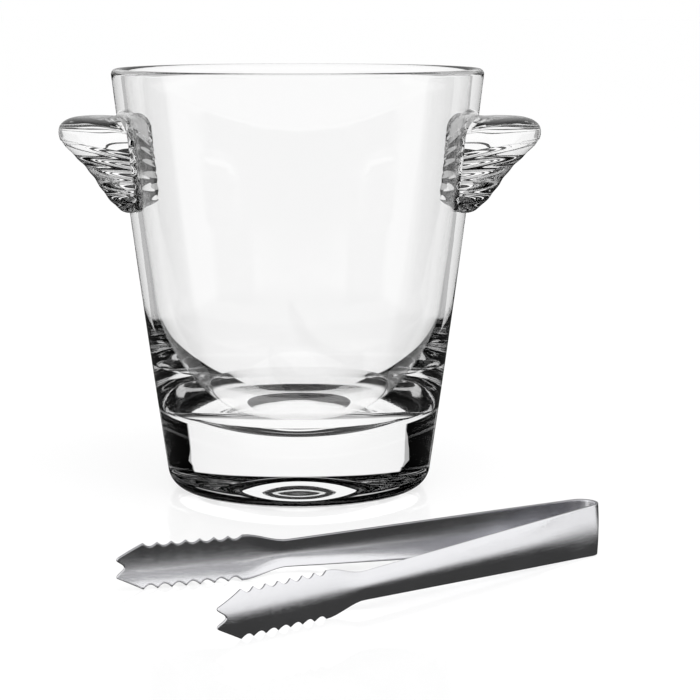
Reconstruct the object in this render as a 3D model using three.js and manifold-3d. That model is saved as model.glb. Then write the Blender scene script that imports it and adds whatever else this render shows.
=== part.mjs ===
// Clear glass ice bucket with two ear handles, and the bent steel tongs that belong to it.
// Lengths are in millimetres and +Z is up. The ears point along X and the tongs lie on the
// table in front of the bucket, on its -Y side. The origin is on the table, under the middle
// of the box that holds bucket and tongs together.

import * as THREE from "three";
import { mergeVertices } from "three/addons/utils/BufferGeometryUtils.js";
import Module from "manifold-3d";

// Glass vessel: a tapered wall on a heavy solid foot, and inside it a dished floor that bends
// up into the wall
const height = 190;
const rim_radius = 83.8;
const foot_radius = 58.9;
const wall_bulge = 0.7;
const wall = 5.5;
const bend_wall = 5.8;
const rim_round = 2.4;
const floor_height = 28;
const floor_dish = 8;
const floor_radius = 44;
const bend_height = 83;
const bend_reach = 4;
const bend_drop = 27;
const foot_round = 9.5;
const dimple_radius = 31;
const dimple_depth = 10;

// Ear handles: solid glass, fused to the wall, smooth on top and ribbed underneath
const ear_drop = 21.2;
const ear_height = 42.4;
const left_ear_reach = 27.3;
const right_ear_reach = 29;
const ear_half_width = 31;
const ear_sink = 2;
const ear_rib_depth = 0.4;
const ear_rib_count = 6;
const glass_gap = 0.3;

// Side view of an ear, from the wall below round the nose to the wall above, as shares of its
// reach and of its height. The ribs end under the nose, partway along it.
const ear_outline_shares = [
  [0, 0],
  [0.16, 0.015],
  [0.36, 0.16],
  [0.6, 0.43],
  [0.88, 0.65],
  [0.995, 0.77],
  [0.96, 0.9],
  [0.78, 0.975],
  [0.5, 0.99],
  [0.2, 0.985],
  [0, 1],
];
const ear_ribbed_share = 0.56;

// Towards its two ends an ear gets lower around this share of its height, and a groove stops
// this far short of the end of a rib.
const ear_end_height_share = 0.75;
const ear_middle_share = 0.3;
const ear_scallop_share = 0.05;

// Tongs: one bent steel strip that stands on its edge, a flat bow and two troughed arms
const strip = 1;
const bow_radius = 6.2;
const bow_width = 20.8;
const arm_length = 190.4;
const arm_opening = THREE.MathUtils.degToRad(10.44);
const neck_width = 10.6;
const neck_from_tip = 67.4;
const trough_depth = 1.6;
const trough_run = 45;
const flex_gap = 0.3;

// Claws: a row of pointed teeth on each edge and a two-lobed tip
const claw_width = 17.8;
const tooth_count = 8;
const tooth_pitch = 5.6;
const tooth_depth = 1.5;
const tip_length = 10.3;
const tip_width = 8.4;
const tip_notch = 3.2;
const tip_round = 0.9;
const tip_curl = 1.4;

// Where the tongs lie: the centre of the bow from the bucket's axis, and the way the arms point
const tongs_right = 116.3;
const tongs_forward = 134.6;
const tongs_turn = THREE.MathUtils.degToRad(210.95);

// How finely the round shapes are cut
const round_steps = 64;
const arc_steps = 5;
const dimple_steps = 8;
const wall_steps = 7;
const bend_steps = 9;
const floor_steps = 4;
const ear_steps = 16;
const rib_steps = 4;
const nose_steps = 14;
const bow_steps = 16;
const taper_steps = 8;
const flare_steps = 5;
const tooth_steps = 4;
const tip_steps = 3;

const glass = { color: 0xf2f5f6, roughness: 0.02, metalness: 0, transparent: true, opacity: 0.4 };
const steel = { color: 0xc9cacd, roughness: 0.24, metalness: 1 };

const { lerp, smoothstep } = THREE.MathUtils;

const wasm = await Module();
wasm.setup();

function solidFrom(geometry) {
  const bare = geometry.clone();
  bare.deleteAttribute("normal");
  bare.deleteAttribute("uv");
  const merged = mergeVertices(bare);
  const vertProperties = merged.attributes.position.array;
  const triVerts = new Uint32Array(merged.index.array);
  return new wasm.Manifold(new wasm.Mesh({ numProp: 3, vertProperties, triVerts }));
}

function geometryFrom(solid) {
  const { vertProperties, triVerts } = solid.getMesh();
  const geometry = new THREE.BufferGeometry();
  geometry.setAttribute("position", new THREE.BufferAttribute(vertProperties, 3));
  geometry.setIndex(new THREE.BufferAttribute(triVerts, 1));
  geometry.computeVertexNormals();
  return geometry;
}

function turned(profile) {
  return new THREE.LatheGeometry(profile, round_steps).rotateX(Math.PI / 2);
}

function arc(centre, radius, from, to) {
  const points = [];
  for (let i = 0; i <= arc_steps; i += 1) {
    const angle = lerp(from, to, i / arc_steps);
    const reach = new THREE.Vector2(Math.cos(angle), Math.sin(angle)).multiplyScalar(radius);
    points.push(reach.add(centre));
  }
  return points;
}

// A closed solid through stations along a path. Each station has a row of points on the right
// of the path and as many on its left, both from the bottom up.
function loft(stations) {
  const count = stations[0].right.length;
  const ring = 2 * count;
  const points = stations.flatMap(({ right, left }) => [...right, ...left.toReversed()]);
  const faces = [];
  for (let k = 0; k + 1 < stations.length; k += 1) {
    for (let i = 0; i < ring; i += 1) {
      const here = k * ring + i;
      const next = k * ring + ((i + 1) % ring);
      faces.push(here, here + ring, next + ring, here, next + ring, next);
    }
  }
  const last = (stations.length - 1) * ring;
  for (let i = 0; i + 1 < count; i += 1) {
    const across = ring - 1 - i;
    faces.push(i, i + 1, across - 1, i, across - 1, across);
    faces.push(last + i, last + across - 1, last + i + 1);
    faces.push(last + i, last + across, last + across - 1);
  }
  const geometry = new THREE.BufferGeometry().setFromPoints(points);
  geometry.setIndex(faces);
  geometry.computeVertexNormals();
  return geometry;
}

// Radius of the vessel's outside at a height, and how fast it grows there.
function outsideAt(z) {
  const up = z / height;
  return lerp(foot_radius, rim_radius, up) + 4 * wall_bulge * up * (1 - up);
}

function slopeAt(z) {
  return (rim_radius - foot_radius + 4 * wall_bulge * (1 - (2 * z) / height)) / height;
}

// Thickness of the wall at a height: it swells a little towards the bend.
function wallAt(z) {
  return lerp(wall, bend_wall, ((height - z) / (height - bend_height)) ** 3);
}

// Outside of the vessel from the flat of the foot up to where the rim starts to round over.
function outsideProfile() {
  const lean = Math.atan(slopeAt(foot_round));
  const corner = new THREE.Vector2(outsideAt(foot_round) - foot_round / Math.cos(lean), foot_round);
  const points = arc(corner, foot_round, -Math.PI / 2, -lean);
  const start = points.at(-1).y;
  for (let i = 1; i < wall_steps; i += 1) {
    const z = lerp(start, height - rim_round, i / wall_steps);
    points.push(new THREE.Vector2(outsideAt(z), z));
  }
  return points;
}

function vesselGeometry() {
  const dimple = [];
  for (let i = 0; i < dimple_steps; i += 1) {
    const share = i / dimple_steps;
    dimple.push(new THREE.Vector2(dimple_radius * share, dimple_depth * (1 - share ** 2)));
  }
  dimple.push(new THREE.Vector2(dimple_radius, 0));

  const rim_z = height - rim_round;
  const rim_outside = new THREE.Vector2(outsideAt(rim_z) - rim_round, rim_z);
  const rim_inside = new THREE.Vector2(outsideAt(rim_z) - wall + rim_round, rim_z);
  const rim = [
    ...arc(rim_outside, rim_round, 0, Math.PI / 2),
    ...arc(rim_inside, rim_round, Math.PI / 2, Math.PI),
  ];

  const inside = [];
  for (let i = 1; i < wall_steps; i += 1) {
    const z = lerp(rim_z, bend_height, i / wall_steps);
    inside.push(new THREE.Vector2(outsideAt(z) - wallAt(z), z));
  }

  // The bend leaves the wall and meets the dish without a corner.
  const wall_end = new THREE.Vector2(outsideAt(bend_height) - bend_wall, bend_height);
  const swelling = (3 * (bend_wall - wall)) / (height - bend_height);
  const down = new THREE.Vector2(-slopeAt(bend_height) - swelling, -1).setLength(bend_drop);
  const dish_edge = new THREE.Vector2(floor_radius, floor_height + floor_dish);
  const outwards = new THREE.Vector2(floor_radius, 2 * floor_dish).setLength(bend_reach);
  const knee = [down.add(wall_end), outwards.add(dish_edge)];
  const bend = new THREE.CubicBezierCurve(wall_end, ...knee, dish_edge).getPoints(bend_steps);

  const floor = [];
  for (let i = floor_steps - 1; i >= 0; i -= 1) {
    const share = i / floor_steps;
    floor.push(new THREE.Vector2(floor_radius * share, floor_height + floor_dish * share ** 2));
  }
  return turned([...dimple, ...outsideProfile(), ...rim, ...inside, ...bend, ...floor]);
}

// Points along an ear's outline. Each carries how deep the groove between two ribs is there,
// 1 in the bottom of a groove and 0 on top of a rib.
function earOutline(reach) {
  const corners = ear_outline_shares.map(([out, up]) => {
    return new THREE.Vector2(out * reach, up * ear_height);
  });
  const curve = new THREE.SplineCurve(corners);
  const ribbed_steps = ear_rib_count * rib_steps;
  const outline = [];
  for (let i = 0; i <= ribbed_steps; i += 1) {
    const at = curve.getPointAt((ear_ribbed_share * i) / ribbed_steps);
    const groove = 1 - Math.abs(Math.sin((Math.PI * i) / rib_steps));
    outline.push({ at, groove: i === ribbed_steps ? 0 : groove });
  }
  for (let i = 1; i <= nose_steps; i += 1) {
    const at = curve.getPointAt(lerp(ear_ribbed_share, 1, i / nose_steps));
    outline.push({ at, groove: 0 });
  }
  return outline;
}

// One ear on the +X side: its side view swept round the wall, where it shrinks like an
// ellipse towards both ends, with the wall's own shape cut out of its back.
function earGeometry(reach) {
  const bottom = height - ear_drop - ear_height;
  const middle = bottom + ear_middle_share * ear_height;
  const widest = ear_half_width / outsideAt(middle);
  const outline = earOutline(reach);
  const stations = [];
  for (let k = 0; k <= ear_steps; k += 1) {
    const turn = lerp(-Math.PI / 2, Math.PI / 2, k / ear_steps);
    const side = Math.sin(turn);
    const depth = Math.cos(turn);
    const low = lerp(ear_end_height_share, 1, Math.sqrt(1 - side ** 4));
    const place = ({ at, groove }, behind) => {
      const angle = side * widest * (1 - ear_scallop_share * groove);
      const z = lerp(middle, bottom + at.y, low);
      const out = at.x * depth - ear_sink * (1 - depth) - ear_rib_depth * groove;
      const radius = outsideAt(z) + (behind ? -2 * ear_sink : out);
      return new THREE.Vector3(radius * Math.cos(angle), radius * Math.sin(angle), z);
    };
    stations.push({
      right: outline.map((point) => place(point, false)),
      left: outline.map((point) => place(point, true)),
    });
  }
  const wall_side = outsideProfile().map(({ x, y }) => new THREE.Vector2(x + glass_gap, y));
  const top = new THREE.Vector2(outsideAt(height) + glass_gap, height);
  const axis = [new THREE.Vector2(0, 0), new THREE.Vector2(0, height)];
  const cutter = turned([axis[0], ...wall_side, top, axis[1]]);
  return geometryFrom(solidFrom(loft(stations)).subtract(solidFrom(cutter)));
}

// Places across the strip, as shares of its half width, from its lower to its upper edge.
const across_shares = [-1, -0.8, -0.4, 0, 0.4, 0.8, 1];
const lobe_share = 0.8;

const teeth_end = arm_length - tip_length;
const teeth_start = teeth_end - (tooth_count - 1) * tooth_pitch;
const neck_start = arm_length - neck_from_tip;

// Width of the strip at a distance along the arm, with the teeth cut into the claw's edges.
function widthAt(along) {
  if (along <= neck_start) {
    return lerp(bow_width, neck_width, along / neck_start);
  }
  if (along < teeth_start) {
    return lerp(neck_width, claw_width, smoothstep(along, neck_start, teeth_start));
  }
  const phase = (along - teeth_start) / tooth_pitch;
  return claw_width - 2 * tooth_depth * Math.abs(Math.sin(Math.PI * phase));
}

// The strip stands on both its bow and its claws, so its middle drops a little on the way.
function middleAt(along) {
  return lerp(bow_width, claw_width, Math.min(1, along / teeth_start)) / 2;
}

// How far the tip reaches at a share across it: two round lobes with a notch between them.
function tipAt(share) {
  const side = Math.abs(share);
  if (side > lobe_share) {
    return arm_length - tip_round * ((side - lobe_share) / (1 - lobe_share)) ** 2;
  }
  return arm_length - tip_notch * Math.cos((Math.PI * side) / (2 * lobe_share)) ** 2;
}

// One point on an arm's strip. The trough's back bulges away from the other arm, and the tip
// curls towards it. The side is 1 on the near arm and -1 on the far one.
function stripPoint(along, share, half_width, side, face) {
  const trough = trough_depth * smoothstep(along, 0, trough_run) * (1 - share ** 2);
  const curl = tip_curl * Math.max(0, (along - teeth_end) / tip_length) ** 2;
  const y = side * (trough - curl) + (face * strip) / 2;
  return new THREE.Vector3(along, y, middleAt(along) + share * half_width);
}

// One arm along +X from where it leaves the bow.
function armGeometry(side) {
  const places = [flex_gap / 2];
  for (let i = 1; i <= taper_steps; i += 1) {
    places.push((neck_start * i) / taper_steps);
  }
  for (let i = 1; i < flare_steps; i += 1) {
    places.push(lerp(neck_start, teeth_start, i / flare_steps));
  }
  const last_step = (tooth_count - 1) * tooth_steps;
  for (let i = 0; i <= last_step; i += 1) {
    places.push(lerp(teeth_start, teeth_end, i / last_step));
  }

  const row = (along, face) => {
    return across_shares.map((share) => stripPoint(along, share, widthAt(along) / 2, side, face));
  };
  const stations = places.map((along) => ({ right: row(along, -1), left: row(along, 1) }));

  for (let i = 1; i <= tip_steps; i += 1) {
    const share_out = i / tip_steps;
    const half_width = lerp(claw_width, tip_width, share_out) / 2;
    const tipRow = (face) => {
      return across_shares.map((share) => {
        return stripPoint(lerp(teeth_end, tipAt(share), share_out), share, half_width, side, face);
      });
    };
    stations.push({ right: tipRow(-1), left: tipRow(1) });
  }
  return loft(stations);
}

// The bow: the strip bent round a vertical axis from the near arm's start to the far arm's.
function bowGeometry() {
  const start = Math.PI / 2 + arm_opening + flex_gap / 2 / bow_radius;
  const stations = [];
  for (let k = 0; k <= bow_steps; k += 1) {
    const angle = lerp(start, 2 * Math.PI - start, k / bow_steps);
    const row = (radius) => {
      return across_shares.map((share) => {
        const z = (bow_width / 2) * (1 + share);
        return new THREE.Vector3(radius * Math.cos(angle), radius * Math.sin(angle), z);
      });
    };
    stations.push({ right: row(bow_radius + strip / 2), left: row(bow_radius - strip / 2) });
  }
  return loft(stations);
}

function piece(name, geometry, finish) {
  const mesh = new THREE.Mesh(geometry, new THREE.MeshStandardMaterial(finish));
  mesh.name = name;
  return mesh;
}

function bucket() {
  const group = new THREE.Group();
  const vessel = piece("glass_vessel", vesselGeometry(), glass);
  const right_handle = piece("right_handle", earGeometry(right_ear_reach), glass);
  const left_handle = piece("left_handle", earGeometry(left_ear_reach), glass);
  left_handle.rotation.z = Math.PI;
  group.add(vessel, right_handle, left_handle);
  return group;
}

function tongs() {
  const group = new THREE.Group();
  const bow = piece("tongs_bow", bowGeometry(), steel);
  const near_arm = piece("tongs_near_arm", armGeometry(1), steel);
  const far_arm = piece("tongs_far_arm", armGeometry(-1), steel);
  const arms = [
    [near_arm, 1],
    [far_arm, -1],
  ];
  for (const [arm, side] of arms) {
    const across = side * bow_radius * Math.cos(arm_opening);
    arm.position.set(-bow_radius * Math.sin(arm_opening), across, 0);
    arm.rotation.z = side * arm_opening;
  }
  group.add(bow, near_arm, far_arm);
  group.position.set(tongs_right, -tongs_forward, 0);
  group.rotation.z = tongs_turn;
  return group;
}

const set = new THREE.Group();
set.add(bucket(), tongs());
set.updateMatrixWorld(true);
const centre = new THREE.Box3().setFromObject(set, true).getCenter(new THREE.Vector3());
set.position.set(-centre.x, -centre.y, 0);

const part = new THREE.Group();
part.add(set);

export default part;
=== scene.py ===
# %% [markdown]
# A glass ice bucket and its tongs, dressed in Blender
#
# This lesson builds the looks of a tapered glass ice bucket with two ear handles, and of the
# bent steel tongs in front of it. The solid model is already fixed. We load it first, keep its
# box, and build each visible piece in the same place, in metres, with +Z up.

# %% Load the fixed frame
import math

import bpy
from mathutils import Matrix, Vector


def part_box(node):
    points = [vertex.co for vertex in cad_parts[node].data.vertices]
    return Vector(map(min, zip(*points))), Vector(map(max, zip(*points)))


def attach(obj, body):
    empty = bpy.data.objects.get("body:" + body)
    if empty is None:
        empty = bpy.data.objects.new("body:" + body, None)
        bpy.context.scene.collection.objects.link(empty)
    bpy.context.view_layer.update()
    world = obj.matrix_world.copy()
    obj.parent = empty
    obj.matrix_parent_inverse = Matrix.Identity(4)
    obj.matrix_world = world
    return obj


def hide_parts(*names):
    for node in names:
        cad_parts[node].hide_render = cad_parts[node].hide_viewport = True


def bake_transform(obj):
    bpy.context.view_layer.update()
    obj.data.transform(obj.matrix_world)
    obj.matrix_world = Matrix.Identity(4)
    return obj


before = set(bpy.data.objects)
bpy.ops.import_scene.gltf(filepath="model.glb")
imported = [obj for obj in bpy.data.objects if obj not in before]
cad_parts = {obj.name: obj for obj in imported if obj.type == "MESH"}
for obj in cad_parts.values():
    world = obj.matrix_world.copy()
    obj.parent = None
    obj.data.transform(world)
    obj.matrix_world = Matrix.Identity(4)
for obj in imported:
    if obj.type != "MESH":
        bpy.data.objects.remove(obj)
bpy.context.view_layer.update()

MM = 0.001

# %% [markdown]
# The real bucket is a body turned round one upright axis, so everything on it is measured from
# that axis. It stands in the middle of the vessel's box.

# %% Find the bucket's axis
vessel_low, vessel_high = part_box("glass_vessel")
AXIS = Vector(((vessel_low.x + vessel_high.x) / 2, (vessel_low.y + vessel_high.y) / 2, 0))
print("the bucket's axis is at", tuple(AXIS), "and it is", vessel_high.z, "high")

# %% [markdown]
# The camera looks slightly down on the set from the front. Where it stands and how long its
# lens is come from fitting the rim, the foot, the walls and the tongs to what is seen. We make
# it early, so that every later look at the scene is through the same eye.

# %% Place the camera
CAMERA_FROM_AXIS = Vector((23.42, -1019.74, 218.91)) * MM
CAMERA_PITCH = math.radians(8.749)
LENS = 115.96

bpy.ops.object.camera_add(
    location=AXIS + CAMERA_FROM_AXIS,
    rotation=(math.pi / 2 - CAMERA_PITCH, 0, 0),
)
camera = bpy.context.object
camera.data.lens = LENS
camera.data.sensor_width = 36
bpy.context.scene.camera = camera
print("the camera stands at", tuple(camera.location))

# %% [markdown]
# A few helpers come up again and again. An operator acts on all that is selected, so each
# piece starts with nothing selected. A finished piece keeps its place in its mesh, so its
# object ends at the origin. And a modifier is added, set and applied in one go.

# %% Helpers for modelling


def clear_selection():
    if bpy.context.object and bpy.context.object.mode != "OBJECT":
        bpy.ops.object.mode_set(mode="OBJECT")
    bpy.ops.object.select_all(action="DESELECT")


def select_only(piece):
    clear_selection()
    piece.select_set(True)
    bpy.context.view_layer.objects.active = piece


def apply_modifier(piece, kind, **settings):
    select_only(piece)
    bpy.ops.object.modifier_add(type=kind)
    modifier = piece.modifiers[-1]
    for name, value in settings.items():
        setattr(modifier, name, value)
    bpy.ops.object.modifier_apply(modifier=modifier.name)


def finish_mesh(piece, name, smooth_below):
    select_only(piece)
    bpy.ops.object.transform_apply(location=True, rotation=True, scale=True)
    bpy.ops.object.shade_smooth_by_angle(angle=math.radians(smooth_below))
    piece.name = name
    piece.data.name = name
    return piece


# %% Helpers for measures


def smoothstep(value, low, high):
    share = min(1.0, max(0.0, (value - low) / (high - low)))
    return share * share * (3 - 2 * share)


def lerp(a, b, share):
    return a + (b - a) * share


def arc(centre, radius, start, end, steps):
    points = []
    for i in range(steps + 1):
        angle = lerp(start, end, i / steps)
        points.append((centre[0] + radius * math.cos(angle), centre[1] + radius * math.sin(angle)))
    return points


# %% [markdown]
# The glass body is turned: one outline, spun round the axis. Its wall leans out and swells a
# little over a thick solid foot, and its rim is as round as a drop. Inside, the wall runs in
# one wide bend into a dished floor, high above the table. The glass is pressed in a mould and
# fire polished, so there is no sharp edge but the ring where the foot stands. Inside that
# ring the underside is a low dome, which the foot shows as a few bright and dark rings. Light
# bends at every one of these surfaces, so the outline gets many more points than the solid
# model has.

# %% Measures of the glass body
RIM_RADIUS = 83.8
FOOT_RADIUS = 58.9
BODY_HEIGHT = 190.0
WALL_BULGE = 0.7
WALL = 5.5
RIM_ROUND = 2.4
BEND_HEIGHT = 83.0
BEND_WALL = 5.8
BEND_DROP = 27.0
BEND_REACH = 4.0
FLOOR_HEIGHT = 28.0
FLOOR_DISH = 8.0
FLOOR_RADIUS = 44.0
FOOT_ROUND = 9.5
DIMPLE_RADIUS = 31.0
DIMPLE_DEPTH = 10.0
RING_EDGE = 0.4
DIMPLE_STEPS = 24
FOOT_STEPS = 20
OUTSIDE_STEPS = 56
RIM_STEPS = 10
INSIDE_STEPS = 44
BEND_STEPS = 48
FLOOR_STEPS = 30


def outside_at(z):
    up = z / BODY_HEIGHT
    return lerp(FOOT_RADIUS, RIM_RADIUS, up) + 4 * WALL_BULGE * up * (1 - up)


def slope_at(z):
    return (RIM_RADIUS - FOOT_RADIUS + 4 * WALL_BULGE * (1 - 2 * z / BODY_HEIGHT)) / BODY_HEIGHT


def inside_at(z):
    down = (BODY_HEIGHT - z) / (BODY_HEIGHT - BEND_HEIGHT)
    return outside_at(z) - lerp(WALL, BEND_WALL, down**3)


print("the wall is", WALL, "mm thick at the rim and", BEND_WALL, "mm above the bend")

# %% Outline of the outside, from the dome under the foot to the rim
QUARTER = math.pi / 2


def outside_outline():
    points = []
    for i in range(DIMPLE_STEPS):
        share = i / DIMPLE_STEPS
        points.append((DIMPLE_RADIUS * share, DIMPLE_DEPTH * (1 - share**2)))
    points.append((DIMPLE_RADIUS, 0))
    lean = math.atan(slope_at(FOOT_ROUND))
    corner = (outside_at(FOOT_ROUND) - FOOT_ROUND / math.cos(lean), FOOT_ROUND)
    points += [(DIMPLE_RADIUS + RING_EDGE, 0), (corner[0] - RING_EDGE, 0)]
    points += arc(corner, FOOT_ROUND, -QUARTER, -lean, FOOT_STEPS)
    start = points[-1][1]
    rim_z = BODY_HEIGHT - RIM_ROUND
    for i in range(1, OUTSIDE_STEPS):
        z = lerp(start, rim_z, i / OUTSIDE_STEPS)
        points.append((outside_at(z), z))
    outer = outside_at(rim_z)
    points += arc((outer - RIM_ROUND, rim_z), RIM_ROUND, 0, QUARTER, RIM_STEPS)
    inner = outer - WALL + RIM_ROUND
    points += arc((inner, rim_z), RIM_ROUND, QUARTER, 2 * QUARTER, RIM_STEPS)
    return points


# %% Outline of the inside, down the wall, round the bend and over the floor
def inside_outline():
    rim_z = BODY_HEIGHT - RIM_ROUND
    points = []
    for i in range(1, INSIDE_STEPS):
        z = lerp(rim_z, BEND_HEIGHT, i / INSIDE_STEPS)
        points.append((inside_at(z), z))
    lean = Vector((inside_at(BEND_HEIGHT) - inside_at(BEND_HEIGHT + 0.5), -0.5)).normalized()
    wall_end = Vector((inside_at(BEND_HEIGHT), BEND_HEIGHT))
    wall_pull = wall_end + lean * BEND_DROP
    floor_edge = Vector((FLOOR_RADIUS, FLOOR_HEIGHT + FLOOR_DISH))
    floor_pull = floor_edge + Vector((FLOOR_RADIUS, 2 * FLOOR_DISH)).normalized() * BEND_REACH
    for i in range(BEND_STEPS + 1):
        t = i / BEND_STEPS
        s = 1 - t
        point = s**3 * wall_end + 3 * s * s * t * wall_pull
        point = point + 3 * s * t * t * floor_pull + t**3 * floor_edge
        points.append((point.x, point.y))
    for i in range(1, FLOOR_STEPS + 1):
        share = 1 - i / FLOOR_STEPS
        points.append((FLOOR_RADIUS * share, FLOOR_HEIGHT + FLOOR_DISH * share**2))
    return points


outline = outside_outline() + inside_outline()
print("the outline has", len(outline), "points")

# %% [markdown]
# To draw the outline we work as one does by hand: a small plane is merged to one point, and
# that point is extruded from place to place. The line is then spun a whole turn round the
# axis. Spinning leaves a seam and two poles where points lie on each other, so doubles are
# merged before the normals are turned outwards.

# %% Draw the outline and spin it
BODY_STEPS = 192
MERGE_BODY = 0.00001


def draw_line(points):
    clear_selection()
    bpy.ops.mesh.primitive_plane_add(size=MM, location=points[0])
    bpy.ops.object.mode_set(mode="EDIT")
    bpy.ops.mesh.merge(type="CENTER")
    for before, here in zip(points, points[1:]):
        bpy.ops.mesh.extrude_region_move(TRANSFORM_OT_translate={"value": here - before})
    return bpy.context.object


def spin_body(outline):
    body = draw_line([AXIS + Vector((x, 0, z)) * MM for x, z in outline])
    bpy.ops.mesh.select_all(action="SELECT")
    bpy.ops.mesh.spin(steps=BODY_STEPS, angle=2 * math.pi, center=AXIS, axis=(0, 0, 1))
    bpy.ops.mesh.select_all(action="SELECT")
    bpy.ops.mesh.remove_doubles(threshold=MERGE_BODY)
    bpy.ops.mesh.normals_make_consistent(inside=False)
    bpy.ops.object.mode_set(mode="OBJECT")
    return body


bucket = spin_body(outline)
print("the body has", len(bucket.data.polygons), "faces")

# %% [markdown]
# Each ear is a lump of hot glass pressed on to the wall. Its top is smooth and its underside
# is ribbed, as far as just under the nose. We draw its side view as a smooth curve through a
# few corners, and walk along it for the ribs. Then a grid is rolled up like a sheet of clay:
# each of its rows becomes the side view at one station round the wall, and the stations shrink
# towards both ends of the ear.

# %% Measures of an ear
EAR_DROP = 21.2
EAR_HEIGHT = 42.4
EAR_REACH = {"left": 27.3, "right": 29.0}
EAR_HALF_WIDTH = 31.0
EAR_SINK = 2.0
EAR_RIB_DEPTH = 0.4
EAR_RIBS = 6
EAR_RIBBED = 0.56
EAR_END_HEIGHT = 0.75
EAR_MIDDLE = 0.3
EAR_SCALLOP = 0.025
EAR_OUTLINE = [
    (0, 0), (0.16, 0.015), (0.36, 0.16), (0.6, 0.43), (0.88, 0.65), (0.995, 0.77),
    (0.96, 0.9), (0.78, 0.975), (0.5, 0.99), (0.2, 0.985), (0, 1),
]
print("an ear hangs", EAR_DROP, "mm below the rim and is", EAR_HEIGHT, "mm high")


# %% Side view of an ear
def spline_at(corners, share):
    place = share * (len(corners) - 1)
    i = min(int(place), len(corners) - 2)
    t = place - i
    a, b = corners[i], corners[i + 1]
    before = corners[i - 1] if i > 0 else a
    after = corners[i + 2] if i + 2 < len(corners) else b
    leave, arrive = (b - before) / 2, (after - a) / 2
    cubic = (2 * a - 2 * b + leave + arrive) * t**3
    return cubic + (3 * b - 3 * a - 2 * leave - arrive) * t**2 + leave * t + a


FINE_STEPS = 2000


def even_points(corners, shares):
    fine = [spline_at(corners, i / FINE_STEPS) for i in range(FINE_STEPS + 1)]
    lengths = [0.0]
    for a, b in zip(fine, fine[1:]):
        lengths.append(lengths[-1] + (b - a).length)
    points = []
    k = 0
    for share in shares:
        while k < FINE_STEPS - 1 and lengths[k + 1] < share * lengths[-1]:
            k += 1
        part = (share * lengths[-1] - lengths[k]) / (lengths[k + 1] - lengths[k])
        points.append(fine[k].lerp(fine[k + 1], part))
    return points


def ear_section(reach, rib_steps, nose_steps):
    """Points round the side view, each with how deep the groove between two ribs is there."""
    corners = [Vector((out * reach, up * EAR_HEIGHT)) for out, up in EAR_OUTLINE]
    count = EAR_RIBS * rib_steps
    shares = [EAR_RIBBED * i / count for i in range(count + 1)]
    shares += [lerp(EAR_RIBBED, 1, i / nose_steps) for i in range(1, nose_steps + 1)]
    grooves = [(1 + math.cos(2 * math.pi * i / rib_steps)) / 2 for i in range(count)]
    grooves += [0] * (nose_steps + 1)
    return list(zip(even_points(corners, shares), grooves))


# %% Roll up the ears and join them to the body
EAR_STEPS = 72
RIB_STEPS = 12
NOSE_STEPS = 48
MERGE_EAR = 0.000001


def ear_point(side, turn, point, groove, behind):
    across, depth = math.sin(turn), math.cos(turn)
    bottom = BODY_HEIGHT - EAR_DROP - EAR_HEIGHT
    middle = bottom + EAR_MIDDLE * EAR_HEIGHT
    low = lerp(EAR_END_HEIGHT, 1, math.sqrt(max(0, 1 - across**4)))
    angle = across * EAR_HALF_WIDTH / outside_at(middle) * (1 - EAR_SCALLOP * groove)
    height = lerp(middle, bottom + point.y, low)
    out = point.x * depth - EAR_SINK * (1 - depth) - EAR_RIB_DEPTH * groove
    radius = outside_at(height) + (-2 * EAR_SINK if behind else out)
    place = Vector((side * radius * math.cos(angle), side * radius * math.sin(angle), height))
    return AXIS + place * MM


def add_ear(side, reach):
    section = ear_section(reach, RIB_STEPS, NOSE_STEPS)
    ring = [(point, groove, False) for point, groove in section]
    ring += [(point, groove, True) for point, groove in reversed(section)]
    clear_selection()
    bpy.ops.mesh.primitive_grid_add(x_subdivisions=EAR_STEPS, y_subdivisions=len(ring), size=1)
    ear = bpy.context.object
    for vertex in ear.data.vertices:
        station = round((vertex.co.x + 0.5) * EAR_STEPS)
        point, groove, behind = ring[round((vertex.co.y + 0.5) * len(ring)) % len(ring)]
        turn = lerp(-QUARTER, QUARTER, station / EAR_STEPS)
        vertex.co = ear_point(side, turn, point, groove, behind)
    bpy.ops.object.mode_set(mode="EDIT")
    bpy.ops.mesh.select_all(action="SELECT")
    bpy.ops.mesh.remove_doubles(threshold=MERGE_EAR)
    bpy.ops.mesh.select_all(action="DESELECT")
    bpy.ops.mesh.select_non_manifold()
    bpy.ops.mesh.fill()
    bpy.ops.mesh.select_all(action="SELECT")
    bpy.ops.mesh.normals_make_consistent(inside=False)
    bpy.ops.object.mode_set(mode="OBJECT")
    return ear


for side, name in ((-1, "left"), (1, "right")):
    ear = add_ear(side, EAR_REACH[name])
    apply_modifier(bucket, "BOOLEAN", operation="UNION", solver="EXACT", object=ear)
    bpy.data.objects.remove(ear)
bucket = finish_mesh(bucket, "bucket_glass", smooth_below=40)
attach(bucket, "bucket")
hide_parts("glass_vessel", "left_handle", "right_handle")
print("with both ears the glass has", len(bucket.data.polygons), "faces")
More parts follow.
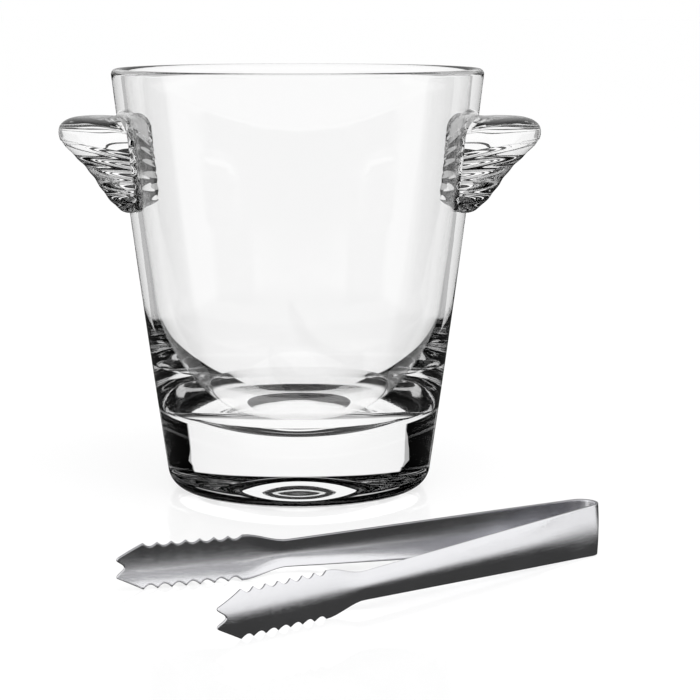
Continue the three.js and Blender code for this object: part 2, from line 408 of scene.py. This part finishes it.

# %% [markdown]
# The tongs are one steel strip, a millimetre thick, that stands on its edge. On the real thing
# a blank is punched flat, with its teeth and its two-lobed tips, and then pressed into a trough
# and bent round into a bow. We work in the same order, one half at a time: a grid is the flat
# blank, its points move to the punched outline and then to the bent place, and Solidify gives
# it its thickness.

# %% Measures of the tongs
STRIP = 1.0
BOW_RADIUS = 6.2
BOW_WIDTH = 20.8
BOW_CROWN = 0.35
ARM_LENGTH = 190.4
ARM_OPENING = math.radians(10.44)
NECK_WIDTH = 10.6
NECK_START = ARM_LENGTH - 67.4
TROUGH_DEPTH = 1.6
TROUGH_RUN = 45.0
CLAW_WIDTH = 17.8
TOOTH_COUNT = 8
TOOTH_PITCH = 5.6
TOOTH_DEPTH = 1.5
TIP_LENGTH = 10.3
TIP_WIDTH = 8.4
TIP_NOTCH = 3.2
TIP_ROUND = 0.9
TIP_CURL = 1.4
LOBE = 0.8
TEETH_END = ARM_LENGTH - TIP_LENGTH
TEETH_START = TEETH_END - (TOOTH_COUNT - 1) * TOOTH_PITCH
HALF_BOW = BOW_RADIUS * (QUARTER - ARM_OPENING)
EDGE_ROUND = 0.14
BOW_FROM_AXIS = Vector((116.3, -134.6, 0))
TONGS_TURN = math.radians(210.95)
print("half the strip is", round(HALF_BOW + ARM_LENGTH, 1), "mm long before it is bent")


# %% Punch the outline
def strip_width_at(along):
    if along <= NECK_START:
        return lerp(BOW_WIDTH, NECK_WIDTH, max(0, along) / NECK_START)
    return lerp(NECK_WIDTH, CLAW_WIDTH, smoothstep(along, NECK_START, TEETH_START))


def tooth_cut_at(along):
    if not TEETH_START < along < TEETH_END:
        return 0.0
    return TOOTH_DEPTH * abs(math.sin(math.pi * (along - TEETH_START) / TOOTH_PITCH))


def tip_end_at(share):
    side = abs(share)
    if side > LOBE:
        return ARM_LENGTH - TIP_ROUND * ((side - LOBE) / (1 - LOBE)) ** 2
    return ARM_LENGTH - TIP_NOTCH * math.cos(math.pi * side / (2 * LOBE)) ** 2


def punched(along, share):
    """Along and across the flat blank, and how wide the strip is there without its teeth."""
    if along <= TEETH_END:
        half_width = strip_width_at(along) / 2
        return along, share * (half_width - tooth_cut_at(along)), half_width
    out = (along - TEETH_END) / TIP_LENGTH
    half_width = lerp(CLAW_WIDTH, TIP_WIDTH, out) / 2
    return lerp(TEETH_END, tip_end_at(share), out), share * half_width, CLAW_WIDTH / 2


print("the claws are", CLAW_WIDTH, "mm wide and their necks", NECK_WIDTH, "mm")


# %% Bend the blank
def in_room(x, y, z):
    c, s = math.cos(TONGS_TURN), math.sin(TONGS_TURN)
    return AXIS + (BOW_FROM_AXIS + Vector((c * x - s * y, s * x + c * y, z))) * MM


def bent(along, up, half_width, side):
    hollow = 1 - (up / half_width) ** 2
    bulge = lerp(BOW_CROWN, TROUGH_DEPTH, smoothstep(along, 0, TROUGH_RUN)) * hollow
    curl = TIP_CURL * max(0, (along - TEETH_END) / TIP_LENGTH) ** 2
    turn = QUARTER + ARM_OPENING + max(0, -along) / BOW_RADIUS
    reach = BOW_RADIUS + bulge - curl
    straight = max(0, along)
    x = reach * math.cos(turn) + straight * math.cos(ARM_OPENING)
    y = reach * math.sin(turn) + straight * math.sin(ARM_OPENING)
    middle = lerp(BOW_WIDTH, CLAW_WIDTH, min(1, straight / TEETH_START)) / 2
    return in_room(x, side * y, middle + up)


HALF_BOW_STEPS = 26
ARM_STEPS = 60
TEETH_STEPS = (TOOTH_COUNT - 1) * 12
TIP_STEPS = 14
ACROSS_STEPS = 20


def places_along():
    places = [lerp(-HALF_BOW, 0, i / HALF_BOW_STEPS) for i in range(HALF_BOW_STEPS)]
    places += [lerp(0, TEETH_START, i / ARM_STEPS) for i in range(ARM_STEPS)]
    places += [lerp(TEETH_START, TEETH_END, i / TEETH_STEPS) for i in range(TEETH_STEPS)]
    return places + [lerp(TEETH_END, ARM_LENGTH, i / TIP_STEPS) for i in range(TIP_STEPS + 1)]


def add_half(side, name):
    places = places_along()
    last = len(places) - 1
    clear_selection()
    bpy.ops.mesh.primitive_grid_add(x_subdivisions=last, y_subdivisions=ACROSS_STEPS, size=1)
    half = bpy.context.object
    for vertex in half.data.vertices:
        along = places[round((vertex.co.x + 0.5) * last)]
        vertex.co = bent(*punched(along, 2 * vertex.co.y), side)
    if side < 0:
        bpy.ops.object.mode_set(mode="EDIT")
        bpy.ops.mesh.select_all(action="SELECT")
        bpy.ops.mesh.flip_normals()
        bpy.ops.object.mode_set(mode="OBJECT")
    apply_modifier(half, "SOLIDIFY", thickness=STRIP * MM, offset=0, use_even_offset=True)
    sharp = math.radians(50)
    apply_modifier(half, "BEVEL", width=EDGE_ROUND * MM, segments=2, angle_limit=sharp)
    return finish_mesh(half, name, smooth_below=35)


near_half = add_half(1, "near_half_strip")
far_half = add_half(-1, "far_half_strip")
print("each half of the strip has", len(near_half.data.polygons), "faces")

# %% [markdown]
# Squeezed tongs flex where the bow runs into the arms. Here each half keeps its place in its
# mesh, and the solid model's bow and arms are hidden.

# %% Keep each half in place and hide the solid tongs
for half, side, arm in ((near_half, 1, "tongs_near_arm"), (far_half, -1, "tongs_far_arm")):
    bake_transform(half)
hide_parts("tongs_near_arm", "tongs_bow")
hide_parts("tongs_far_arm")

# %% [markdown]
# Both finishes are built from nodes. Two effects are node groups: a cloudy variation, as
# breath, hands and wiping leave, which the steel uses, and fine scratches, shared by both, which
# lie across each other on the foot where it is slid about, and along the strip of the tongs.

# %% Helpers for nodes


def add_node(tree, kind, place, **settings):
    made = tree.nodes.new(kind)
    made.location = place
    for name, value in settings.items():
        setattr(made, name, value)
    return made


def set_inputs(made, **values):
    for name, value in values.items():
        made.inputs[name.replace("_", " ")].default_value = value


def new_group(name, inputs, outputs):
    tree = bpy.data.node_groups.new(name, "ShaderNodeTree")
    for socket, kind in inputs:
        tree.interface.new_socket(socket, in_out="INPUT", socket_type=kind)
    for socket, kind in outputs:
        tree.interface.new_socket(socket, in_out="OUTPUT", socket_type=kind)
    start = add_node(tree, "NodeGroupInput", (-600, 0))
    end = add_node(tree, "NodeGroupOutput", (600, 0))
    return tree, start, end


def new_material(name):
    material = bpy.data.materials.new(name)
    material.use_nodes = True
    tree = material.node_tree
    tree.nodes.clear()
    out = add_node(tree, "ShaderNodeOutputMaterial", (900, 0))
    return material, tree, out


# %% Shared effect: smudges
def smudge_group():
    tree, start, end = new_group(
        "smudges",
        [("Vector", "NodeSocketVector"), ("Scale", "NodeSocketFloat"),
         ("Least", "NodeSocketFloat"), ("Most", "NodeSocketFloat")],
        [("Value", "NodeSocketFloat")],
    )
    cloud = add_node(tree, "ShaderNodeTexNoise", (-300, 0))
    set_inputs(cloud, Detail=4.0, Roughness=0.6)
    spread = add_node(tree, "ShaderNodeMapRange", (0, 0), interpolation_type="SMOOTHSTEP")
    set_inputs(spread, From_Min=0.35, From_Max=0.68)
    tree.links.new(start.outputs["Vector"], cloud.inputs["Vector"])
    tree.links.new(start.outputs["Scale"], cloud.inputs["Scale"])
    tree.links.new(cloud.outputs["Fac"], spread.inputs["Value"])
    tree.links.new(start.outputs["Least"], spread.inputs["To Min"])
    tree.links.new(start.outputs["Most"], spread.inputs["To Max"])
    tree.links.new(spread.outputs[0], end.inputs["Value"])
    return tree


SMUDGES = smudge_group()
print("made the group", SMUDGES.name)


# %% Shared effect: fine scratches
def scratch_group():
    tree, start, end = new_group(
        "fine_scratches",
        [("Vector", "NodeSocketVector"), ("Stretch", "NodeSocketVector"),
         ("Scale", "NodeSocketFloat")],
        [("Mask", "NodeSocketFloat")],
    )
    pulled = add_node(tree, "ShaderNodeVectorMath", (-400, 0), operation="MULTIPLY")
    hairs = add_node(tree, "ShaderNodeTexNoise", (-200, 0))
    set_inputs(hairs, Detail=5.0, Roughness=0.7, Distortion=0.1)
    thin = add_node(tree, "ShaderNodeMapRange", (100, 0))
    set_inputs(thin, From_Min=0.5, From_Max=0.72)
    tree.links.new(start.outputs["Vector"], pulled.inputs[0])
    tree.links.new(start.outputs["Stretch"], pulled.inputs[1])
    tree.links.new(pulled.outputs[0], hairs.inputs["Vector"])
    tree.links.new(start.outputs["Scale"], hairs.inputs["Scale"])
    tree.links.new(hairs.outputs["Fac"], thin.inputs["Value"])
    tree.links.new(thin.outputs[0], end.inputs["Mask"])
    return tree


SCRATCHES = scratch_group()
print("made the group", SCRATCHES.name)

# %% [markdown]
# Clear pressed glass has next to no colour, and its looks come from how it bends the room
# behind it. What gives it away as a real piece is small: the fire-polished skin is not quite
# even, so straight reflections waver, and the ring it stands on is dulled by fine scratches.

# %% Glass finish
GLASS_IOR = 1.5
WAVE_SCALE = 38.0
WAVE_DEPTH = 0.06
WEAR_HEIGHT = 0.8
WEAR_SCALE = 900.0
WEAR_ROUGHNESS = 0.35


def glass_material():
    material, tree, out = new_material("clear_glass")
    link = tree.links.new
    shader = add_node(tree, "ShaderNodeBsdfPrincipled", (600, 0))
    set_inputs(shader, Base_Color=(1, 1, 1, 1), IOR=GLASS_IOR, Transmission_Weight=1.0)
    place = add_node(tree, "ShaderNodeTexCoord", (-900, 0))

    wavy = add_node(tree, "ShaderNodeTexNoise", (-300, -300))
    set_inputs(wavy, Scale=WAVE_SCALE, Detail=2.0, Roughness=0.4)
    skin = add_node(tree, "ShaderNodeBump", (300, -300))
    set_inputs(skin, Strength=1.0, Distance=WAVE_DEPTH * MM)
    link(place.outputs["Object"], wavy.inputs["Vector"])
    link(wavy.outputs["Fac"], skin.inputs["Height"])
    link(skin.outputs["Normal"], shader.inputs["Normal"])

    parts = add_node(tree, "ShaderNodeSeparateXYZ", (-600, 200))
    low = add_node(tree, "ShaderNodeMapRange", (-300, 200), interpolation_type="SMOOTHSTEP")
    set_inputs(low, From_Max=WEAR_HEIGHT * MM, To_Min=1.0, To_Max=0.0)
    scratches = add_node(tree, "ShaderNodeGroup", (-300, 0), node_tree=SCRATCHES)
    set_inputs(scratches, Stretch=(1.0, 1.0, 1.0), Scale=WEAR_SCALE)
    worn = add_node(tree, "ShaderNodeMath", (0, 100), operation="MULTIPLY")
    dulled = add_node(tree, "ShaderNodeMath", (300, 100), operation="MULTIPLY")
    dulled.inputs[1].default_value = WEAR_ROUGHNESS
    link(place.outputs["Object"], parts.inputs[0])
    link(parts.outputs["Z"], low.inputs["Value"])
    link(place.outputs["Object"], scratches.inputs["Vector"])
    link(low.outputs[0], worn.inputs[0])
    link(scratches.outputs["Mask"], worn.inputs[1])
    link(worn.outputs[0], dulled.inputs[0])
    link(dulled.outputs[0], shader.inputs["Roughness"])
    link(shader.outputs["BSDF"], out.inputs["Surface"])
    return material


bucket.data.materials.clear()
bucket.data.materials.append(glass_material())
print("the glass has an index of refraction of", GLASS_IOR)

# %% [markdown]
# The tongs are stainless strip, rolled along its length and then satin polished. The grain is
# noise pulled out along the strip, which the piece's own UV map follows round the bow, since
# the grid it was made from had one. The punched edges are rougher and a little darker, and
# hands leave soft clouds in the gloss.

# %% Steel finish
STEEL_COLOUR = (0.77, 0.77, 0.79, 1)
CUT_EDGE_COLOUR = (0.42, 0.42, 0.44, 1)
CUT_EDGE_ROUGHNESS = 0.42
CUT_EDGE_SPAN = (0.485, 0.4995)
GRAIN_STRETCH = (1.0, 60.0, 1.0)
GRAIN_SCALE = 14.0
GRAIN_ROUGHNESS = 0.08
GRAIN_DEPTH = 0.04
CLOUD_SCALE = 45.0


def steel_material():
    material, tree, out = new_material("tongs_steel")
    link = tree.links.new
    shader = add_node(tree, "ShaderNodeBsdfPrincipled", (600, 0))
    set_inputs(shader, Metallic=1.0)
    place = add_node(tree, "ShaderNodeTexCoord", (-1200, 0))

    grain = add_node(tree, "ShaderNodeGroup", (-600, -200), node_tree=SCRATCHES)
    set_inputs(grain, Stretch=GRAIN_STRETCH, Scale=GRAIN_SCALE)
    clouds = add_node(tree, "ShaderNodeGroup", (-600, 100), node_tree=SMUDGES)
    set_inputs(clouds, Scale=CLOUD_SCALE, Least=0.07, Most=0.13)
    rough = add_node(tree, "ShaderNodeMath", (0, 0), operation="MULTIPLY_ADD")
    rough.inputs[1].default_value = GRAIN_ROUGHNESS
    brushed = add_node(tree, "ShaderNodeBump", (300, -300))
    set_inputs(brushed, Strength=0.35, Distance=GRAIN_DEPTH * MM)
    link(place.outputs["UV"], grain.inputs["Vector"])
    link(place.outputs["Object"], clouds.inputs["Vector"])
    link(grain.outputs["Mask"], rough.inputs[0])
    link(clouds.outputs["Value"], rough.inputs[2])
    link(grain.outputs["Mask"], brushed.inputs["Height"])
    link(brushed.outputs["Normal"], shader.inputs["Normal"])

    across = add_node(tree, "ShaderNodeSeparateXYZ", (-900, 400))
    from_middle = add_node(tree, "ShaderNodeMath", (-600, 400), operation="SUBTRACT")
    from_middle.inputs[1].default_value = 0.5
    distance = add_node(tree, "ShaderNodeMath", (-400, 400), operation="ABSOLUTE")
    edge = add_node(tree, "ShaderNodeMapRange", (-200, 400), interpolation_type="SMOOTHSTEP")
    set_inputs(edge, From_Min=CUT_EDGE_SPAN[0], From_Max=CUT_EDGE_SPAN[1])
    colour = add_node(tree, "ShaderNodeMix", (200, 400), data_type="RGBA")
    colour.inputs["A"].default_value = STEEL_COLOUR
    colour.inputs["B"].default_value = CUT_EDGE_COLOUR
    roughest = add_node(tree, "ShaderNodeMix", (300, 100))
    roughest.inputs["B"].default_value = CUT_EDGE_ROUGHNESS
    link(place.outputs["UV"], across.inputs[0])
    link(across.outputs["Y"], from_middle.inputs[0])
    link(from_middle.outputs[0], distance.inputs[0])
    link(distance.outputs[0], edge.inputs["Value"])
    link(edge.outputs[0], colour.inputs["Factor"])
    link(edge.outputs[0], roughest.inputs["Factor"])
    link(rough.outputs[0], roughest.inputs["A"])
    link(colour.outputs["Result"], shader.inputs["Base Color"])
    link(roughest.outputs["Result"], shader.inputs["Roughness"])
    link(shader.outputs["BSDF"], out.inputs["Surface"])
    return material


steel = steel_material()
for half in (near_half, far_half):
    half.data.materials.clear()
    half.data.materials.append(steel)
print("both halves are", steel.name)

# %% [markdown]
# Clear glass is photographed in front of a white screen that is no wider than it has to be:
# what is straight behind shows white through it, and the dark room on both sides and above
# draws its edges and its thick foot in black. So rays that have passed through glass see one
# white screen behind, the white table in front of it and straight under the foot, and dark
# beside them. Three dimmer screens stand on the other sides, and the table is grey farther off,
# so that the glass stays light in the other views. Metal sees a room that is lighter in front
# than behind, over a table that is dark behind a line a little in front of the bucket and that
# carries a painted shadow close to the strip. The camera sees only white.

# %% Studio: measures
SCREEN_HALF_WIDTH = 38.0
SCREEN_TOP = 8.0
SIDE_SCREEN_HALF_WIDTH = 16.0
SCREEN_EDGE = 0.8
OTHER_SCREENS = 0.6
UNDER_FOOT = 0.057
OTHER_TABLE = 0.3
DIM_START = 0.28
DIM_BEHIND = 0.5
DIM_IN_FRONT = 0.7
METAL_ROOM_LIGHT = 1.15
METAL_ROOM_DARK = 0.4
METAL_TABLE = 1.0
# painted shadow: how bright the table is to glossy rays close to the strip
METAL_TABLE_PAINTED_SHADOW = 0.05
METAL_TABLE_BEHIND = 0.03
METAL_TABLE_START = -0.12
# the ray lengths over which the painted shadow round the strip fades out
PAINTED_SHADOW_RANGE = (0.024, 0.07)
TABLE_COLOUR = (0.9, 0.9, 0.9, 1)
TABLE_GLOW = 1.23
GLOW_SHARE = 0.75
MIRROR_SHARE = 0.2
TABLE_DROP = 0.2


# %% Studio: helpers for nodes
def maths(tree, kind, *values):
    made = add_node(tree, "ShaderNodeMath", (0, 0), operation=kind)
    for socket, value in zip(made.inputs, values):
        if isinstance(value, (int, float)):
            socket.default_value = value
        else:
            tree.links.new(value, socket)
    return made.outputs[0]


def fade(tree, value, low, high, start=0.0, end=1.0):
    made = add_node(tree, "ShaderNodeMapRange", (0, 0), interpolation_type="SMOOTHSTEP")
    set_inputs(made, From_Min=low, From_Max=high, To_Min=start, To_Max=end)
    tree.links.new(value, made.inputs["Value"])
    return made.outputs[0]


def choose(tree, chance, otherwise, chosen):
    """otherwise, or chosen where chance is 1."""
    made = add_node(tree, "ShaderNodeMix", (0, 0))
    for name, value in (("Factor", chance), ("A", otherwise), ("B", chosen)):
        if isinstance(value, (int, float)):
            made.inputs[name].default_value = value
        else:
            tree.links.new(value, made.inputs[name])
    return made.outputs["Result"]


def screens_round(tree, x, y, others):
    """1 towards the screen behind, others towards the other three, 0 in the dark between."""
    around = maths(tree, "ABSOLUTE", maths(tree, "ARCTAN2", x, y))
    wide = math.radians(SCREEN_HALF_WIDTH)
    narrow = math.radians(SIDE_SCREEN_HALF_WIDTH)
    soft = math.radians(SCREEN_EDGE)
    back = fade(tree, around, wide - soft, wide + soft, 1.0, 0.0)
    front = fade(tree, around, math.pi - wide - soft, math.pi - wide + soft)
    from_side = maths(tree, "ABSOLUTE", maths(tree, "SUBTRACT", around, QUARTER))
    side = fade(tree, from_side, narrow - soft, narrow + soft, 1.0, 0.0)
    rest = maths(tree, "MULTIPLY", maths(tree, "MAXIMUM", front, side), others)
    return maths(tree, "MAXIMUM", back, rest)


# %% Studio: the room
def studio_world():
    world = bpy.data.worlds.new("studio")
    bpy.context.scene.world = world
    world.use_nodes = True
    tree = world.node_tree
    tree.nodes.clear()
    where = add_node(tree, "ShaderNodeTexCoord", (-900, 0))
    parts = add_node(tree, "ShaderNodeSeparateXYZ", (-700, 0))
    tree.links.new(where.outputs["Generated"], parts.inputs[0])
    x, y, z = parts.outputs
    path = add_node(tree, "ShaderNodeLightPath", (-900, -300))
    top = math.radians(SCREEN_TOP)
    below_top = fade(tree, z, math.sin(top - 0.02), math.sin(top + 0.02), 1.0, 0.0)
    glass_sees = maths(tree, "MULTIPLY", screens_round(tree, x, y, OTHER_SCREENS), below_top)
    metal_sees = fade(tree, y, 0.0, 0.8, METAL_ROOM_LIGHT, METAL_ROOM_DARK)
    level = choose(tree, path.outputs["Is Glossy Ray"], 1.0, metal_sees)
    level = choose(tree, path.outputs["Is Transmission Ray"], level, glass_sees)
    level = choose(tree, path.outputs["Is Camera Ray"], level, 1.0)
    back = add_node(tree, "ShaderNodeBackground", (600, 0))
    back.inputs["Color"].default_value = (1, 1, 1, 1)
    tree.links.new(level, back.inputs["Strength"])
    out = add_node(tree, "ShaderNodeOutputWorld", (900, 0))
    tree.links.new(back.outputs[0], out.inputs[0])
    return world


print("the room is", studio_world().name)


# %% Studio: the table
def mix_shaders(tree, chance, otherwise, chosen):
    made = add_node(tree, "ShaderNodeMixShader", (0, 0))
    if isinstance(chance, float):
        made.inputs[0].default_value = chance
    else:
        tree.links.new(chance, made.inputs[0])
    tree.links.new(otherwise, made.inputs[1])
    tree.links.new(chosen, made.inputs[2])
    return made.outputs[0]


def table_material():
    material, tree, out = new_material("studio_table")
    path = add_node(tree, "ShaderNodeLightPath", (-900, -300))
    white = add_node(tree, "ShaderNodeBsdfDiffuse", (0, 0))
    set_inputs(white, Color=TABLE_COLOUR)
    glow = add_node(tree, "ShaderNodeEmission", (0, 0))
    set_inputs(glow, Strength=TABLE_GLOW)
    mirror = add_node(tree, "ShaderNodeBsdfGlossy", (0, 0))
    set_inputs(mirror, Color=(1, 1, 1, 1), Roughness=0.02)
    seen = mix_shaders(tree, GLOW_SHARE, white.outputs[0], glow.outputs[0])
    seen = mix_shaders(tree, MIRROR_SHARE, seen, mirror.outputs[0])

    where = add_node(tree, "ShaderNodeTexCoord", (-900, 300))
    centred = add_node(tree, "ShaderNodeVectorMath", (-700, 300), operation="SUBTRACT")
    centred.inputs[1].default_value = AXIS
    parts = add_node(tree, "ShaderNodeSeparateXYZ", (-500, 300))
    tree.links.new(where.outputs["Object"], centred.inputs[0])
    tree.links.new(centred.outputs[0], parts.inputs[0])
    x, y, _ = parts.outputs
    squares = [maths(tree, "MULTIPLY", value, value) for value in (x, y)]
    away = maths(tree, "SQRT", maths(tree, "ADD", *squares))
    under_foot = fade(tree, away, UNDER_FOOT - 0.002, UNDER_FOOT + 0.002, 1.0, 0.0)
    others = fade(tree, away, OTHER_TABLE, OTHER_TABLE + 0.03, 0.0, OTHER_SCREENS)
    screens = screens_round(tree, x, y, others)
    beyond = fade(tree, away, DIM_START, DIM_START + 0.04)
    dim = maths(tree, "MULTIPLY", beyond, fade(tree, y, -0.02, 0.1, DIM_IN_FRONT, DIM_BEHIND))
    glass_sees = maths(tree, "MAXIMUM", under_foot, maths(tree, "MAXIMUM", screens, dim))
    in_glass = add_node(tree, "ShaderNodeEmission", (0, 0))
    tree.links.new(glass_sees, in_glass.inputs["Strength"])

    # Painted shadow: to glossy rays the table turns dark where they meet it within a few
    # centimetres, as a stand-in for the strip's shadow on the table.
    length = path.outputs["Ray Length"]
    painted_strip_shadow = fade(tree, length, *PAINTED_SHADOW_RANGE, METAL_TABLE_PAINTED_SHADOW, METAL_TABLE)
    front_end = METAL_TABLE_START + 0.04
    in_front = fade(tree, y, METAL_TABLE_START, front_end, 1.0, METAL_TABLE_BEHIND)
    in_metal = add_node(tree, "ShaderNodeEmission", (0, 0))
    tree.links.new(maths(tree, "MULTIPLY", painted_strip_shadow, in_front), in_metal.inputs["Strength"])

    shader = mix_shaders(tree, path.outputs["Is Glossy Ray"], seen, in_metal.outputs[0])
    shader = mix_shaders(tree, path.outputs["Is Transmission Ray"], shader, in_glass.outputs[0])
    tree.links.new(shader, out.inputs["Surface"])
    return material


clear_selection()
bpy.ops.mesh.primitive_plane_add(size=60, location=(0, 0, 0))
bpy.ops.transform.translate(value=(0, 0, -TABLE_DROP * MM))
bpy.ops.object.transform_apply(location=True, rotation=False, scale=False)
table = bpy.context.object
table.name = "studio_table"
table.data.materials.append(table_material())
print("the table stands just under the set, at", table.data.vertices[0].co.z)

# %% [markdown]
# One broad soft lamp over the set gives the table its faint shadow. It is hidden from glass
# and metal, so that it leaves no bright patch in them.

# %% Studio: the lamp and the view
LAMP_PLACE = (0.3, -0.6, 1.6)
LAMP_TILT = math.radians(20)
LAMP_POWER = 12
bpy.ops.object.light_add(type="AREA", location=LAMP_PLACE, rotation=(LAMP_TILT, 0, 0))
lamp = bpy.context.object
lamp.data.shape = "RECTANGLE"
lamp.data.size = 1.2
lamp.data.size_y = 1.0
lamp.data.energy = LAMP_POWER
lamp.visible_glossy = False
lamp.visible_transmission = False

scene = bpy.context.scene
scene.view_settings.view_transform = "Standard"
scene.cycles.max_bounces = 32
scene.cycles.transmission_bounces = 32
scene.cycles.glossy_bounces = 16
print("the view transform is", scene.view_settings.view_transform)
